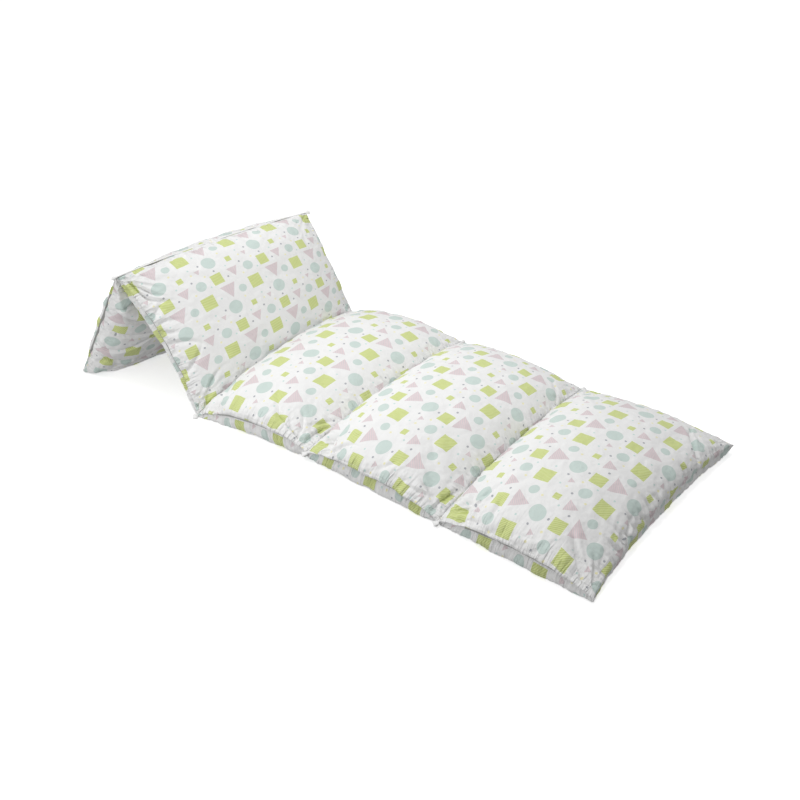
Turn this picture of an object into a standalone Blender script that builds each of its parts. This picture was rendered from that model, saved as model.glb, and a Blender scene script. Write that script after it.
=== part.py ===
"""Folding floor lounger: a row of five filled pockets of printed cotton, joined by stitched hinges.

Three pockets lie flat on the floor. The last two lean on each other as a tent and make the backrest.
Lengths are in metres. +X runs along the lounger to its foot end, +Y across it to the closed side
of the pockets, +Z up. The open mouths of the pockets are on the -Y side.
"""

import math
from collections import namedtuple

import bmesh
import bpy
from mathutils import Vector

# Cloth: the face and back cloths lie on each other at a sewn edge, and hinges have their turnings too
CLOTH_PAIR = 0.003
HINGE_WIDTH = 0.012
HINGE_THICKNESS = 0.0034
HINGE_EAR = 0.008
STITCH_GAP = 0.0003
PRESS_GAP = 0.0016

# Mouth: the hem of each pocket's open side stands out of the crease between its face and its back
HEM_REACH = 0.008
HEM_DROP = 0.002
HEM_CORNER_CLEARANCE = 0.030
HEM_FACING = 0.7

# Puff: how far the filled cloth bulges sideways past a sewn edge, and at which share it is widest
PUFF_REACH = 0.010
PUFF_SHARE = 0.035

# Mesh
STEPS_ALONG = 18
STEPS_ACROSS = 26
CROWDING = 0.65
FLOOR_ROUNDING = 0.012

# A cross line is a line of stitching, or an end, that runs across the lounger.
# near and far are its two ends, rise lifts its middle and draw moves its middle along X.
CrossLine = namedtuple("CrossLine", "near far rise draw")
CROSS_LINES = {
    "head_end": CrossLine((-0.804, -0.374, 0.004), (-0.772, 0.288, 0.004), 0.008, 0.016),
    "ridge": CrossLine((-0.593, -0.339, 0.338), (-0.541, 0.310, 0.342), 0.010, 0.000),
    "back_seat": CrossLine((-0.362, -0.328, 0.004), (-0.390, 0.337, 0.032), 0.008, 0.000),
    "seat_middle": CrossLine((-0.002, -0.291, 0.022), (0.004, 0.371, 0.046), 0.018, 0.000),
    "middle_foot": CrossLine((0.386, -0.291, 0.010), (0.403, 0.360, 0.036), 0.022, 0.000),
    "foot_end": CrossLine((0.756, -0.294, 0.010), (0.806, 0.369, 0.024), 0.008, -0.025),
}

# A pocket spans two cross lines. crown and belly are how far the filling pushes the face and the
# back out of the sewn edge, and shift is the share by which the crown grows towards the start.
# near_side and far_side move the middles of the two sides: across, up.
Pocket = namedtuple("Pocket", "name start end crown shift belly near_side far_side")
POCKETS = (
    Pocket("pocket_head", "head_end", "ridge", 0.050, 0.0, 0.080, (0.004, 0.0), (-0.006, 0.0)),
    Pocket("pocket_back", "ridge", "back_seat", 0.065, 0.0, 0.082, (0.030, 0.0), (-0.008, 0.0)),
    Pocket("pocket_seat", "back_seat", "seat_middle", 0.066, 0.5, 0.095, (0.006, 0.032), (0.0, 0.016)),
    Pocket("pocket_middle", "seat_middle", "middle_foot", 0.061, 0.0, 0.095, (0.0, 0.028), (0.0, 0.002)),
    Pocket("pocket_foot", "middle_foot", "foot_end", 0.061, 0.0, 0.095, (0.0, 0.030), (0.0, -0.002)),
)

LEANING = ("pocket_head", "pocket_back")

# Puckers: the gathers along a sewn edge, where the flat cloth is longer than the filled edge
PUCKER_DEPTH = 0.009
PUCKER_FADE = 0.045
PUCKER_PITCH = 0.072
PUCKER_UNEVENNESS = 0.30
PUCKER_WANDER = 11.0

# A crease is a soft trough in the face cloth of a pocket. along and across are the shares at its
# middle, heading turns it from the pocket's own direction towards the far side, in degrees.
Crease = namedtuple("Crease", "along across heading length width depth")
CREASES = {
    "pocket_back": (
        Crease(0.10, 0.08, 50.0, 0.120, 0.016, 0.008),
        Crease(0.30, 0.06, 80.0, 0.090, 0.014, 0.010),
        Crease(0.52, 0.07, 100.0, 0.090, 0.014, 0.010),
        Crease(0.86, 0.10, 140.0, 0.110, 0.016, 0.006),
    ),
    "pocket_seat": (
        Crease(0.10, 0.09, 50.0, 0.120, 0.016, 0.008),
        Crease(0.74, 0.12, 125.0, 0.130, 0.016, 0.008),
        Crease(0.88, 0.16, 110.0, 0.120, 0.016, 0.006),
    ),
    "pocket_middle": (
        Crease(0.10, 0.10, 60.0, 0.130, 0.018, 0.008),
        Crease(0.84, 0.09, 130.0, 0.110, 0.016, 0.006),
    ),
    "pocket_foot": (
        Crease(0.12, 0.10, 55.0, 0.140, 0.016, 0.010),
        Crease(0.20, 0.08, 70.0, 0.110, 0.014, 0.008),
        Crease(0.88, 0.10, 140.0, 0.140, 0.018, 0.008),
        Crease(0.80, 0.88, 20.0, 0.130, 0.014, 0.011),
        Crease(0.92, 0.26, 0.0, 0.090, 0.014, 0.008),
    ),
}

# Sections of the filled cloth: the power that squares its outer part and the root that rounds it
CROWN_ALONG = (3.0, 2.0)
CROWN_ACROSS = (2.2, 2.0)
BELLY_ALONG = (5.0, 3.0)
BELLY_ACROSS = (4.0, 3.0)
EAR_SHARPNESS = 2.6

FACE_COLOUR = (0.86, 0.87, 0.83)
BACK_COLOUR = (0.80, 0.81, 0.78)


def bow(t):
    """0 at both ends and 1 in the middle, falling off near the ends, which leaves pointed ears."""
    return 1.0 - abs(2.0 * t - 1.0) ** EAR_SHARPNESS


def swell(t, shape):
    """The height of a filled section across its width: 0 at both seams, 1 in the middle."""
    outer, root = shape
    return max(0.0, 1.0 - abs(2.0 * t - 1.0) ** outer) ** (1.0 / root)


def puff(t):
    """How far the cloth bulges outwards at a share t from a sewn edge, as a share of its reach."""
    return t / PUFF_SHARE * math.exp(1.0 - t / PUFF_SHARE)


def gather(run, drift):
    """Uneven gathers along an edge, from 0 on the tops to 1 in the troughs."""
    turns = run / PUCKER_PITCH + PUCKER_UNEVENNESS * math.sin(PUCKER_WANDER * run + drift)
    return 0.5 - 0.5 * math.cos(2.0 * math.pi * turns + drift)


def pucker_depth(u, v, length, width, drift):
    """How deep the gathers of the four sewn edges are at a place on a cloth."""
    along = max(math.exp(-u * length / PUCKER_FADE), math.exp(-(1.0 - u) * length / PUCKER_FADE))
    across = max(math.exp(-v * width / PUCKER_FADE), math.exp(-(1.0 - v) * width / PUCKER_FADE))
    return PUCKER_DEPTH * (along * gather(v * width, drift) + across * gather(u * length, drift + 2.0))


def crowded(index, steps):
    """A share from 0 to 1 whose steps are closer together near both ends, where the cloth turns."""
    even = index / steps
    smooth = even * even * (3.0 - 2.0 * even)
    return (1.0 - CROWDING) * even + CROWDING * smooth


def line_point(line, v):
    near = Vector(line.near)
    far = Vector(line.far)
    middle_move = Vector((line.draw, 0.0, line.rise))
    return near.lerp(far, v) + middle_move * bow(v)


def side_point(pocket, near_side, u):
    start = CROSS_LINES[pocket.start]
    end = CROSS_LINES[pocket.end]
    a = Vector(start.near if near_side else start.far)
    b = Vector(end.near if near_side else end.far)
    across, up = pocket.near_side if near_side else pocket.far_side
    return a.lerp(b, u) + Vector((0.0, across, up)) * bow(u)


def sewn_sheet(pocket, u, v):
    """The surface on which the face and back cloths meet, spanned between the four sewn edges."""
    start = CROSS_LINES[pocket.start]
    end = CROSS_LINES[pocket.end]
    across = line_point(start, v).lerp(line_point(end, v), u)
    along = side_point(pocket, True, u).lerp(side_point(pocket, False, u), v)
    near = Vector(start.near).lerp(Vector(end.near), u)
    far = Vector(start.far).lerp(Vector(end.far), u)
    return across + along - near.lerp(far, v)


def pocket_normal(pocket):
    """The direction in which the face cloth looks: straight up in a pocket that lies on the floor."""
    if pocket.name not in LEANING:
        return Vector((0.0, 0.0, 1.0))
    start = CROSS_LINES[pocket.start]
    end = CROSS_LINES[pocket.end]
    along = Vector(end.near) + Vector(end.far) - Vector(start.near) - Vector(start.far)
    across = Vector(start.far) + Vector(end.far) - Vector(start.near) - Vector(end.near)
    return along.cross(across).normalized()


def pocket_direction(pocket):
    """The direction from the pocket's first cross line to its second."""
    start = CROSS_LINES[pocket.start]
    end = CROSS_LINES[pocket.end]
    return (Vector(end.near) + Vector(end.far) - Vector(start.near) - Vector(start.far)).normalized()


def hinge_normal(line, before, after):
    """The direction, square to a hinge line, half way between those of its two pockets."""
    across = Vector(line.far) - Vector(line.near)
    bisector = pocket_direction(before) + pocket_direction(after)
    return (bisector - across * bisector.dot(across) / across.length_squared).normalized()


def press_planes(index):
    """What a pocket may not pass: each neighbour's hinge line, with a normal that points inwards."""
    planes = []
    pocket = POCKETS[index]
    if index > 0:
        line = CROSS_LINES[pocket.start]
        planes.append((line, hinge_normal(line, POCKETS[index - 1], pocket)))
    if index < len(POCKETS) - 1:
        line = CROSS_LINES[pocket.end]
        planes.append((line, -hinge_normal(line, pocket, POCKETS[index + 1])))
    return planes


def rest_on_floor(point):
    """Cloth that would pass the floor is laid flat on it, with a rounded edge."""
    if point.z < -FLOOR_ROUNDING:
        point.z = 0.0
    elif point.z < FLOOR_ROUNDING:
        point.z = (point.z + FLOOR_ROUNDING) ** 2 / (4.0 * FLOOR_ROUNDING)


def press_back(point, v, planes):
    """Cloth that would pass a neighbour is flattened against the plane between the two."""
    for line, normal in planes:
        depth = PRESS_GAP / 2.0 - (point - line_point(line, v)).dot(normal)
        if depth > 0.0:
            point += normal * depth


def crease_depth(crease, u, v, length, width):
    """How deep a crease's trough is at a place on the face, 0 away from it."""
    heading = math.radians(crease.heading)
    along = (u - crease.along) * length
    across = (v - crease.across) * width
    lengthwise = along * math.cos(heading) + across * math.sin(heading)
    sideways = across * math.cos(heading) - along * math.sin(heading)
    fade = math.exp(-((2.0 * lengthwise / crease.length) ** 2))
    return crease.depth * fade * math.exp(-((sideways / crease.width) ** 2))


def add_grid(mesh_data, steps_along, place):
    """Adds a grid whose vertices are sent to place(u, v), and returns the edges of its rim."""
    verts = bmesh.ops.create_grid(
        mesh_data, x_segments=steps_along, y_segments=STEPS_ACROSS, size=0.5
    )["verts"]
    for vert in verts:
        u = crowded(round((vert.co.x + 0.5) * steps_along), steps_along)
        v = crowded(round((vert.co.y + 0.5) * STEPS_ACROSS), STEPS_ACROSS)
        vert.co = place(u, v)
    edges = {edge for vert in verts for edge in vert.link_edges}
    return [edge for edge in edges if len(edge.link_faces) == 1]


def add_mouth_hem(mesh_data, rim_faces, pocket):
    """Pulls the near side's rim out into a hem, which stops short of the two corners."""
    start_corner = Vector(CROSS_LINES[pocket.start].near)
    end_corner = Vector(CROSS_LINES[pocket.end].near)
    along = (end_corner - start_corner).normalized()
    outward = pocket_normal(pocket).cross(along)
    if outward.y > 0.0:
        outward.negate()
    low = HEM_CORNER_CLEARANCE
    high = (end_corner - start_corner).length - HEM_CORNER_CLEARANCE
    hem = []
    for face in rim_faces:
        middle = face.calc_center_median()
        is_near = abs(face.normal.dot(outward)) > HEM_FACING and middle.y < 0.0
        if is_near and low < (middle - start_corner).dot(along) < high:
            hem.append(face)
    extruded = bmesh.ops.extrude_face_region(mesh_data, geom=hem)
    bmesh.ops.delete(mesh_data, geom=hem, context="FACES_ONLY")
    moved = [item for item in extruded["geom"] if isinstance(item, bmesh.types.BMVert)]
    drop = pocket_normal(pocket) * -HEM_DROP
    bmesh.ops.translate(mesh_data, verts=moved, vec=outward * HEM_REACH + drop)


def make_material(name, colour):
    material = bpy.data.materials.new(name)
    material.use_nodes = True
    shader = material.node_tree.nodes["Principled BSDF"]
    shader.inputs["Base Color"].default_value = (*colour, 1.0)
    shader.inputs["Roughness"].default_value = 0.85
    shader.inputs["Metallic"].default_value = 0.0
    return material


def finish_object(name, mesh_data, colour):
    bmesh.ops.recalc_face_normals(mesh_data, faces=mesh_data.faces)
    mesh = bpy.data.meshes.new(name)
    mesh_data.to_mesh(mesh)
    mesh_data.free()
    mesh.shade_smooth()
    made = bpy.data.objects.new(name, mesh)
    bpy.context.scene.collection.objects.link(made)
    mesh.materials.append(make_material(name, colour))
    return made


def pocket_length(pocket):
    start = CROSS_LINES[pocket.start]
    end = CROSS_LINES[pocket.end]
    return (line_point(end, 0.5) - line_point(start, 0.5)).length


def pocket_width(pocket):
    start = CROSS_LINES[pocket.start]
    return (Vector(start.far) - Vector(start.near)).length


def build_pocket(index):
    """One filled pocket: a face grid and a back grid joined along their rims, with its mouth's hem."""
    pocket = POCKETS[index]
    normal = pocket_normal(pocket)
    planes = press_planes(index)
    length = pocket_length(pocket)
    width = pocket_width(pocket)
    seam_share = (HINGE_WIDTH / 2.0 + STITCH_GAP) / length
    has_hinge_before = index > 0
    has_hinge_after = index < len(POCKETS) - 1

    def puffed(u, v):
        """The sheet's own u and v for a grid point, bulged outwards at every free side."""
        low = seam_share if has_hinge_before else 0.0
        high = 1.0 - seam_share if has_hinge_after else 1.0
        wide_u = low + (high - low) * u
        reach_u = PUFF_REACH / length * bow(v)
        reach_v = PUFF_REACH / width * bow(u)
        if not has_hinge_before:
            wide_u -= reach_u * puff(u)
        if not has_hinge_after:
            wide_u += reach_u * puff(1.0 - u)
        return wide_u, v - reach_v * (puff(v) - puff(1.0 - v))

    def settle(point, v):
        press_back(point, v, planes)
        rest_on_floor(point)
        return point

    def face_place(u, v):
        sheet_u, sheet_v = puffed(u, v)
        fullness = swell(u, CROWN_ALONG) * swell(v, CROWN_ACROSS)
        troughs = pucker_depth(u, v, length, width, float(index))
        for crease in CREASES.get(pocket.name, ()):
            troughs += crease_depth(crease, u, v, length, width)
        crown = pocket.crown * (1.0 + pocket.shift * (0.5 - u))
        lift = CLOTH_PAIR / 2.0 + (crown - troughs) * fullness
        return settle(sewn_sheet(pocket, sheet_u, sheet_v) + normal * lift, sheet_v)

    def back_place(u, v):
        sheet_u, sheet_v = puffed(u, v)
        fullness = swell(u, BELLY_ALONG) * swell(v, BELLY_ACROSS)
        troughs = pucker_depth(u, v, length, width, float(index) + 0.7)
        depth = CLOTH_PAIR / 2.0 + (pocket.belly - troughs) * fullness
        return settle(sewn_sheet(pocket, sheet_u, sheet_v) - normal * depth, sheet_v)

    mesh_data = bmesh.new()
    rims = add_grid(mesh_data, STEPS_ALONG, face_place) + add_grid(mesh_data, STEPS_ALONG, back_place)
    rim_faces = bmesh.ops.bridge_loops(mesh_data, edges=rims)["faces"]
    mesh_data.normal_update()
    add_mouth_hem(mesh_data, rim_faces, pocket)
    return finish_object(pocket.name, mesh_data, FACE_COLOUR)


def build_hinge(before, after):
    """The stitched strip between two pockets: a leg on the edge of each, bent along the stitching."""
    line = CROSS_LINES[before.end]
    ear = HINGE_EAR / (Vector(line.far) - Vector(line.near)).length
    share_before = HINGE_WIDTH / 2.0 / pocket_length(before)
    share_after = HINGE_WIDTH / 2.0 / pocket_length(after)
    fold_normal = (pocket_normal(before) + pocket_normal(after)).normalized()

    def place(u, v, side):
        wide_v = v * (1.0 + 2.0 * ear) - ear
        if u < 0.25:
            point = sewn_sheet(before, 1.0 - share_before, wide_v)
            normal = pocket_normal(before)
        elif u > 0.75:
            point = sewn_sheet(after, share_after, wide_v)
            normal = pocket_normal(after)
        else:
            point = line_point(line, wide_v)
            normal = fold_normal
        point += normal * side * HINGE_THICKNESS / 2.0
        rest_on_floor(point)
        return point

    mesh_data = bmesh.new()
    top = add_grid(mesh_data, 2, lambda u, v: place(u, v, 1.0))
    bottom = add_grid(mesh_data, 2, lambda u, v: place(u, v, -1.0))
    bmesh.ops.bridge_loops(mesh_data, edges=top + bottom)
    return finish_object("hinge_" + before.end, mesh_data, BACK_COLOUR)


def main():
    for old in list(bpy.data.objects):
        bpy.data.objects.remove(old)
    for index in range(len(POCKETS)):
        build_pocket(index)
    for before, after in zip(POCKETS, POCKETS[1:]):
        build_hinge(before, after)


main()
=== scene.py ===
# %% [markdown]
# # A folding floor lounger in printed cotton
# Five pillows sit in a long cover that is sewn across into pockets. Three pockets lie on the floor
# and two lean on each other as a backrest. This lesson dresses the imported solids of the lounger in
# real cloth: it sews each pocket, fills it with a cloth simulation and prints the cotton.

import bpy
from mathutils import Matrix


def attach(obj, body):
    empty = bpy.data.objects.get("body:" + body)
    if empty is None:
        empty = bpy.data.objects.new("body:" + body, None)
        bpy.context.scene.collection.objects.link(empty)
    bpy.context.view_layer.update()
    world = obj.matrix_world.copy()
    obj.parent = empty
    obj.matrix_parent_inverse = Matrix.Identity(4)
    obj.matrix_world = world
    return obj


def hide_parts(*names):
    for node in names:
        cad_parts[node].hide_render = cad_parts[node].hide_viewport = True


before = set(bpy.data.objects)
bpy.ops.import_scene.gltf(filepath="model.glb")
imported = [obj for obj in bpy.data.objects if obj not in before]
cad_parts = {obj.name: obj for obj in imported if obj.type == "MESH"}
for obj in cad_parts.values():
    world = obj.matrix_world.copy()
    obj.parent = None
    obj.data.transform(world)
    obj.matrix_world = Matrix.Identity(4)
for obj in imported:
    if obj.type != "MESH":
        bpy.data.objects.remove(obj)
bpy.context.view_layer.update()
print("solids:", sorted(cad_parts))

# %% Tools for the rest of the lesson
import math
from collections import namedtuple

import bmesh
import bpy
import numpy as np
from mathutils import Euler, Matrix, Vector, geometry, noise
from mathutils.bvhtree import BVHTree

MM = 0.001
print("lengths are in metres, so 1 mm is", MM)

# %% [markdown]
# ## The sewn lines
# A cover like this is one long bag. Six lines of stitching or hem run across it, and each pocket
# spans two of them. The pockets could be modelled one by one, but then their seams would not meet.
# So each line's ends are found on the photograph once, the pockets share them, and the rest of the
# shape follows from two short tables.

# %% Cross lines
# near, far: the line's ends, at the open and at the closed side of the cover.
# rise, draw: how far its middle is lifted, and drawn towards the foot.
CrossLine = namedtuple("CrossLine", "near far rise draw")
CROSS_LINES = {
    "head_end": CrossLine((-0.804, -0.374, 0.004), (-0.772, 0.288, 0.004), 0.008, 0.016),
    "ridge": CrossLine((-0.593, -0.339, 0.338), (-0.541, 0.310, 0.342), 0.010, 0.000),
    "back_seat": CrossLine((-0.362, -0.328, 0.004), (-0.390, 0.337, 0.032), 0.008, 0.000),
    "seat_middle": CrossLine((-0.002, -0.291, 0.022), (0.004, 0.371, 0.046), 0.018, 0.000),
    "middle_foot": CrossLine((0.386, -0.291, 0.010), (0.403, 0.360, 0.036), 0.022, 0.000),
    "foot_end": CrossLine((0.756, -0.294, 0.010), (0.806, 0.369, 0.024), 0.008, -0.025),
}


def line_across(line):
    """The vector from a line's near end to its far end."""
    return Vector(line.far) - Vector(line.near)


for name, line in CROSS_LINES.items():
    print(f"{name}: {line_across(line).length * 1000:.0f} mm wide")

# %% Pockets
# crown, belly: how far the face and the back cloth stand off the sheet between the seams.
# shift: how much of the crown moves towards the pocket's first line.
# near_side, far_side: how far the middle of a side seam is moved across, and lifted.
Pocket = namedtuple("Pocket", "name start end crown shift belly near_side far_side")
POCKETS = (
    Pocket("pocket_head", "head_end", "ridge", 0.050, 0.0, 0.080, (0.004, 0.0), (-0.006, 0.0)),
    Pocket("pocket_back", "ridge", "back_seat", 0.065, 0.0, 0.082, (0.030, 0.0), (-0.008, 0.0)),
    Pocket("pocket_seat", "back_seat", "seat_middle", 0.066, 0.5, 0.095,
           (0.006, 0.032), (0.0, 0.016)),
    Pocket("pocket_middle", "seat_middle", "middle_foot", 0.061, 0.0, 0.095,
           (0.0, 0.028), (0.0, 0.002)),
    Pocket("pocket_foot", "middle_foot", "foot_end", 0.061, 0.0, 0.095,
           (0.0, 0.030), (0.0, -0.002)),
)
print(len(POCKETS), "pockets on", len(CROSS_LINES), "cross lines")

# %% [markdown]
# ## The form of a filled pocket
# A flat bag that is filled keeps its seams where they are and rises between them. It could be
# sculpted by hand, but a formula follows when a number in the tables changes. The sheet between
# the four sewn edges is a Coons patch: two rulings minus the corners they count twice. The face
# cloth rises from it by a rounded-square section and the back cloth drops from it by a boxier one,
# until the floor or the neighbouring pocket stops it. All of this works on whole arrays.

# %% Curves of a section
EAR_SHARPNESS = 2.6
PUFF_SHARE = 0.035


def bow(t):
    """0 at both ends and 1 between, which leaves pointed ears."""
    return 1.0 - np.abs(2.0 * t - 1.0) ** EAR_SHARPNESS


def swell(t, shape):
    """The height of a filled section: 0 at both seams and 1 in the middle."""
    outer, root = shape
    return np.maximum(0.0, 1.0 - np.abs(2.0 * t - 1.0) ** outer) ** (1.0 / root)


def puff(t):
    """How far cloth bulges outwards at a share t from its edge."""
    return t / PUFF_SHARE * np.exp(1.0 - t / PUFF_SHARE)


def mix(a, b, t):
    """A point or an array of points between a and b."""
    t = np.asarray(t)[..., None]
    return np.asarray(a) * (1.0 - t) + np.asarray(b) * t


print("bow, from an ear to the middle:", bow(np.linspace(0.0, 0.5, 6)).round(2))

# %% The sheet between the sewn edges


def line_points(line, v):
    """Points of a cross line at the shares v, which bows up in its middle."""
    return mix(line.near, line.far, v) + np.array((line.draw, 0.0, line.rise)) * bow(v)[..., None]


def side_points(pocket, near_side, u):
    """Points of a pocket's side seam at the shares u."""
    start, end = CROSS_LINES[pocket.start], CROSS_LINES[pocket.end]
    a, b = (start.near, end.near) if near_side else (start.far, end.far)
    across, up = pocket.near_side if near_side else pocket.far_side
    return mix(a, b, u) + np.array((0.0, across, up)) * bow(u)[..., None]


def sewn_sheet(pocket, u, v):
    """The Coons patch between a pocket's four sewn edges."""
    start, end = CROSS_LINES[pocket.start], CROSS_LINES[pocket.end]
    u3, v3 = u[..., None], v[..., None]
    across = line_points(start, v) * (1.0 - u3) + line_points(end, v) * u3
    along = side_points(pocket, True, u) * (1.0 - v3) + side_points(pocket, False, u) * v3
    corners = mix(start.near, end.near, u) * (1.0 - v3) + mix(start.far, end.far, u) * v3
    return across + along - corners


def pocket_size(pocket):
    """Length along the middle and width across, from seam to seam."""
    half = np.array(0.5)
    start, end = CROSS_LINES[pocket.start], CROSS_LINES[pocket.end]
    length = np.linalg.norm(line_points(end, half) - line_points(start, half))
    return length, line_across(start).length


for pocket in POCKETS:
    print(f"{pocket.name}: {pocket_size(pocket)[0] * 1000:.0f} mm long between its seams")

# %% Which way pockets and hinges face
LEANING = ("pocket_head", "pocket_back")


def pocket_direction(pocket):
    """From a pocket's first cross line to its second."""
    start, end = CROSS_LINES[pocket.start], CROSS_LINES[pocket.end]
    along = Vector(end.near) + Vector(end.far) - Vector(start.near) - Vector(start.far)
    return along.normalized()


def pocket_normal(pocket):
    """The way out of a pocket's face."""
    if pocket.name not in LEANING:
        return Vector((0.0, 0.0, 1.0))
    start, end = CROSS_LINES[pocket.start], CROSS_LINES[pocket.end]
    across = Vector(start.far) + Vector(end.far) - Vector(start.near) - Vector(end.near)
    return pocket_direction(pocket).cross(across).normalized()


def hinge_normal(line, before, after):
    """The direction square to a hinge, halfway between those of its two pockets."""
    across = line_across(line)
    bisector = pocket_direction(before) + pocket_direction(after)
    return (bisector - across * bisector.dot(across) / across.length_squared).normalized()


for pocket in POCKETS:
    print(pocket.name, "faces", [round(x, 2) for x in pocket_normal(pocket)])

# %% What stops the cloth
FLOOR_ROUNDING = 12 * MM
PRESS_GAP = 1.6 * MM


def press_planes(index):
    """The cross lines a pocket may not pass, each with a normal that points into the pocket."""
    pocket = POCKETS[index]
    planes = []
    if index > 0:
        line = CROSS_LINES[pocket.start]
        planes.append((line, np.array(hinge_normal(line, POCKETS[index - 1], pocket))))
    if index < len(POCKETS) - 1:
        line = CROSS_LINES[pocket.end]
        planes.append((line, -np.array(hinge_normal(line, pocket, POCKETS[index + 1]))))
    return planes


def press_back(points, v, planes):
    """Moves points back to the planes that they would pass."""
    for line, normal in planes:
        depth = PRESS_GAP / 2.0 - (points - line_points(line, v)) @ normal
        points = points + np.maximum(depth, 0.0)[..., None] * normal
    return points


def rest_on_floor(points):
    """Flattens what would be under the floor, with a rounded edge."""
    z = points[..., 2]
    rounded = (z + FLOOR_ROUNDING) ** 2 / (4.0 * FLOOR_ROUNDING)
    points[..., 2] = np.where(z < -FLOOR_ROUNDING, 0.0, np.where(z < FLOOR_ROUNDING, rounded, z))
    return points


def above_floor(points):
    """Keeps later changes from passing the floor."""
    points[..., 2] = np.maximum(points[..., 2], 0.0)
    return points


print("neighbours of each pocket:", [len(press_planes(index)) for index in range(len(POCKETS))])

# %% One cloth of a pocket
CROWN_ALONG = (3.0, 2.0)
FREE_END_ALONG = (3.2, 2.0)
CROWN_ACROSS = (2.2, 2.0)
BELLY_ALONG = (5.0, 3.0)
BELLY_ACROSS = (4.0, 3.0)
CLOTH_PAIR = 3 * MM
SEAM_SETBACK = 2 * MM
PUFF_REACH = 10 * MM


def pocket_form(index, u, v, is_face):
    """Where the cloth lies at the shares u, v of one side of a pocket."""
    pocket = POCKETS[index]
    is_last = index == len(POCKETS) - 1
    length, width = pocket_size(pocket)
    setback = SEAM_SETBACK / length
    low = setback if index > 0 else 0.0
    high = 1.0 if is_last else 1.0 - setback
    wide_u = low + (high - low) * u
    reach_u = PUFF_REACH / length * bow(v)
    reach_v = PUFF_REACH / width * bow(u)
    if index == 0:
        wide_u = wide_u - reach_u * puff(u)
    if is_last:
        wide_u = wide_u + reach_u * puff(1.0 - u)
    wide_v = v - reach_v * (puff(v) - puff(1.0 - v))
    if is_face:
        at_free_end = (u > 0.5) & is_last
        along = np.where(at_free_end, swell(u, FREE_END_ALONG), swell(u, CROWN_ALONG))
        crown = pocket.crown * (1.0 + pocket.shift * (0.5 - u))
        lift = CLOTH_PAIR / 2.0 + crown * (along * swell(v, CROWN_ACROSS))
    else:
        lift = -CLOTH_PAIR / 2.0 - pocket.belly * (swell(u, BELLY_ALONG) * swell(v, BELLY_ACROSS))
    points = sewn_sheet(pocket, wide_u, wide_v) + lift[..., None] * np.array(pocket_normal(pocket))
    return rest_on_floor(press_back(points, wide_v, press_planes(index)))


for index, pocket in enumerate(POCKETS):
    top = pocket_form(index, np.array([0.5]), np.array([0.5]), True)[0, 2]
    print(f"{pocket.name}: the middle of its face is {top * 1000:.0f} mm high")

# %% [markdown]
# ## The open mouth
# The near side of each pocket is its mouth, where the pillow goes in. The hem of one cloth hangs a
# few millimetres over the other, which leaves a thin dark line under it. On the head pocket it is
# the back cloth that hangs over, and on the others the face. The cloths could be left apart there,
# but the real mouths look closed, so the rim stays joined: the columns of vertices next to it are
# pulled out and down on one cloth and tucked in on the other.
# The thin dark line is partly painted shade: further on, the cloth inside each mouth is coloured
# grey.

# %% Mouth
MOUTH_REACH = 2.5 * MM
MOUTH_DROP = 1.0 * MM
MOUTH_TUCK = 13 * MM
MOUTH_FADE = 0.12  # the share of a pocket's length in which its mouth opens
HEM_BLEND = (1.0, 0.6, 0.25, 0.08)  # how much of the move each column gets, from the rim inwards
TUCK_BLEND = (1.0, 0.15)
HEM_WAVES = ((2.0 * MM, 61.0), (1.4 * MM, 143.0))  # height, and radians a metre
WAVE_DRIFT, DRIFT_PITCH = 3.0, 17.0
CLIMB_SHARE = 0.7


def outward(pocket):
    """The direction in which the mouth looks, in the plane of its pocket."""
    start, end = CROSS_LINES[pocket.start], CROSS_LINES[pocket.end]
    across = pocket_normal(pocket).cross(Vector(end.near) - Vector(start.near)).normalized()
    return np.array(-across if across.y > 0.0 else across)


def over_side(pocket):
    """1 where the face cloth hangs over the mouth, and -1 where the back cloth does."""
    return -1.0 if pocket.name == "pocket_head" else 1.0


def open_mouth(pocket, places, u, is_face):
    """Moves the columns next to the near side, which are places[:, 0], places[:, 1] and so on."""
    out, normal, over = outward(pocket), np.array(pocket_normal(pocket)), over_side(pocket)
    ends = np.clip(np.minimum(u[:, 0], 1.0 - u[:, 0]) / MOUTH_FADE, 0.0, 1.0)
    openness = (ends * ends * (3.0 - 2.0 * ends))[:, None]
    run = places[:, 0, 0] + CLIMB_SHARE * places[:, 0, 2]
    drift = WAVE_DRIFT * np.sin(run * DRIFT_PITCH)
    wave = sum(height * np.sin(run * pitch + drift) for height, pitch in HEM_WAVES)
    if is_face == (over > 0.0):
        move = out * MOUTH_REACH - normal * over * MOUTH_DROP + normal * wave[:, None]
        blend = HEM_BLEND
    else:
        move, blend = -out * MOUTH_TUCK, TUCK_BLEND
    for column, share in enumerate(blend):
        places[:, column] += move * share * openness
    return above_floor(places)


for pocket in POCKETS:
    print(pocket.name, "opens towards", outward(pocket).round(2))

# %% [markdown]
# ## Cloth coordinates
# The print and the flat cut both need to know where on its flat cloth each point lies. An unwrap
# would guess it from the finished shape. Cotton does not stretch, so the distance walked over the
# filled form is the distance on the cloth, and walking every grid line gives each vertex its place.

# %% Even grids
STEPS_ALONG = 80
STEPS_ACROSS = 116
EDGE_DENSITY = 0.35
FINE_STEPS = 800
LANES = np.linspace(0.25, 0.75, 5)


def walked(points, axis):
    """Distance walked along an axis of a grid of points, 0 at its start."""
    steps = np.linalg.norm(np.diff(points, axis=axis), axis=-1)
    pad = [(0, 0), (0, 0)]
    pad[axis] = (1, 0)
    return np.pad(np.cumsum(steps, axis=axis), pad)


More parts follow.
